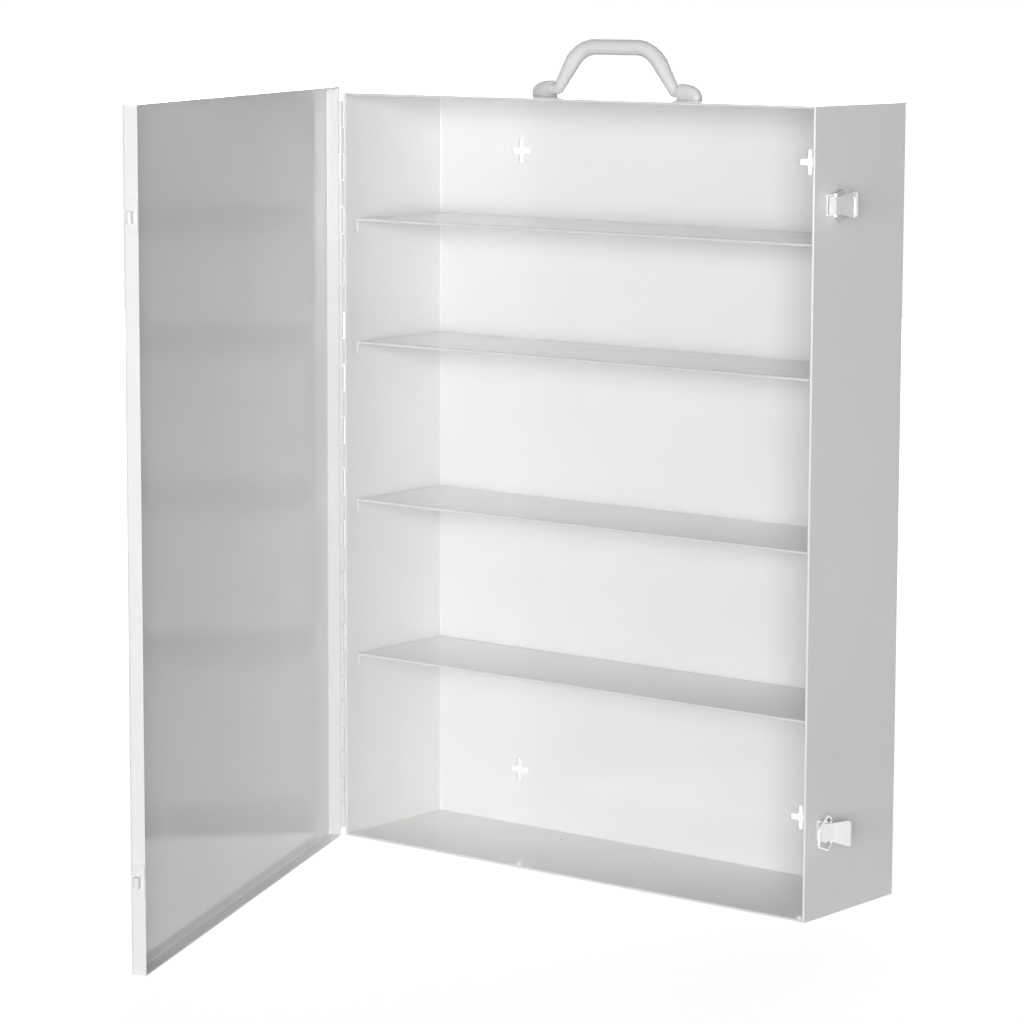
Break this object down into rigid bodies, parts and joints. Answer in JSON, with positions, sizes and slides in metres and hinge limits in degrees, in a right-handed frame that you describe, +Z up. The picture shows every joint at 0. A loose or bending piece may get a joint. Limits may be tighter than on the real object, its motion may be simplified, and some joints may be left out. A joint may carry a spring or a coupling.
{
  "type": "first aid cabinet",
  "caption": "White sheet-steel first aid cabinet: a shelved case with a hinged pan door, a swing carry handle on top and draw latches on its side.",
  "frame": {"origin": "middle of the case's underside", "axes": "+Z up, -Y towards the open front, +X towards the side with the latches"},
  "size_m": [0.4687, 0.5167, 0.6144],
  "materials": {
    "white_powder_coat": "semi-gloss white powder coat on sheet steel",
    "white_plastic": "white moulded plastic",
    "zinc_plated_steel": "bright zinc-plated steel"
  },
  "bodies": {
    "case": {"case_shell": "white_powder_coat", "shelf_lowest": "white_powder_coat", "shelf_second": "white_powder_coat", "shelf_third": "white_powder_coat", "shelf_highest": "white_powder_coat", "hinge_case_leaf": "white_powder_coat", "hinge_pin": "zinc_plated_steel", "handle_socket_left": "white_plastic", "handle_socket_right": "white_plastic", "handle_rivets": "zinc_plated_steel", "latch_base_upper": "white_powder_coat", "latch_pin_upper": "zinc_plated_steel", "latch_base_lower": "white_powder_coat", "latch_pin_lower": "zinc_plated_steel", "latch_rivets": "zinc_plated_steel"},
    "door": {"door_pan": "white_powder_coat", "hinge_door_leaf": "white_powder_coat", "strike_upper": "white_powder_coat", "strike_lower": "white_powder_coat", "strike_rivets": "zinc_plated_steel"},
    "grip": {"handle_grip": "white_plastic"},
    "upper_lever": {"latch_lever_upper": "white_powder_coat"},
    "upper_bail": {"latch_bail_upper": "zinc_plated_steel"},
    "lower_lever": {"latch_lever_lower": "white_powder_coat"},
    "lower_bail": {"latch_bail_lower": "zinc_plated_steel"}
  },
  "joints": [
    {"name": "door_swing", "type": "hinge", "parent": "case", "child": "door", "pos_m": [-0.2176, -0.0573, 0.286], "axis": [0, 0, -1], "range_deg": [-66, 114]},
    {"name": "grip_swing", "type": "hinge", "parent": "case", "child": "grip", "pos_m": [0, 0, 0.577], "axis": [1, 0, 0], "range_deg": [-87, 87]},
    {"name": "upper_lever_swing", "type": "hinge", "parent": "case", "child": "upper_lever", "pos_m": [0.2205, -0.0395, 0.504], "axis": [0, 0, -1], "range_deg": [-2, 78]},
    {"name": "upper_bail_swing", "type": "hinge", "parent": "upper_lever", "child": "upper_bail", "pos_m": [0.21843, -0.03583, 0.504], "axis": [0, 0, 1], "range_deg": [-65, 97]},
    {"name": "lower_lever_swing", "type": "hinge", "parent": "case", "child": "lower_lever", "pos_m": [0.2205, -0.0395, 0.064], "axis": [0, 0, -1], "range_deg": [-60, 30]},
    {"name": "lower_bail_swing", "type": "hinge", "parent": "lower_lever", "child": "lower_bail", "pos_m": [0.22252, -0.0358, 0.064], "axis": [0, 0, 1], "range_deg": [-30, 86]}
  ]
}
